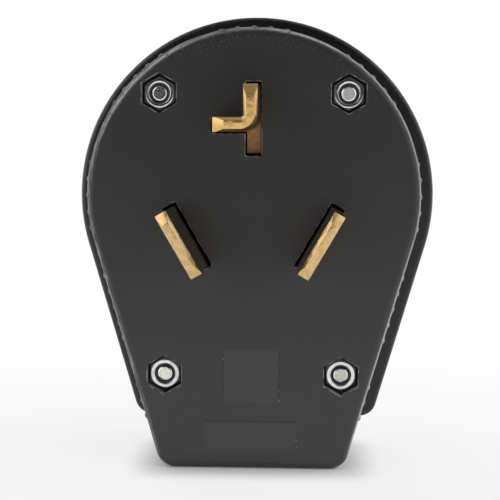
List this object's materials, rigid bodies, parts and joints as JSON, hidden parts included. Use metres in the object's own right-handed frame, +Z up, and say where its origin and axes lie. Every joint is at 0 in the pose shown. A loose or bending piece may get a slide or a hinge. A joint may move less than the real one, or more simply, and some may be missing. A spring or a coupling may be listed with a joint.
{
  "type": "dryer plug",
  "caption": "Angle-type dryer plug with a keyhole-shaped black housing, slanted flat hot blades, an L-shaped neutral blade and a strap clamp for the cord at its foot.",
  "frame": {"origin": "centre of the round end of the housing, on the flat mating face that the blades stand out of", "axes": "+Z up, away from the cord end; -Y out of the mating face, along the blades; +X to the right when looking at the blades"},
  "size_m": [0.0904, 0.0662, 0.1106],
  "materials": {
    "housing": "satin moulded thermoset, dark grey to black",
    "cover": "satin moulded thermoset, black",
    "blade_brass": "rolled and sheared brass strip",
    "screw_brass": "turned brass",
    "plated_steel": "zinc plated steel",
    "nylon": "dark nylon"
  },
  "bodies": {
    "root": {"front_body": "housing", "back_cover": "cover", "hot_blade_left": "blade_brass", "hot_blade_right": "blade_brass", "neutral_blade": "blade_brass", "clamp_plate_left": "plated_steel", "clamp_plate_right": "plated_steel", "clamp_plate_neutral": "plated_steel", "hot_terminal_screws": "screw_brass", "neutral_terminal_screw": "plated_steel", "cover_screws": "plated_steel", "cover_nuts": "plated_steel", "nut_lock_rings": "nylon", "cord_clamp": "plated_steel", "cord_clamp_screws": "plated_steel", "cord_clamp_inserts": "screw_brass"}
  },
  "joints": []
}
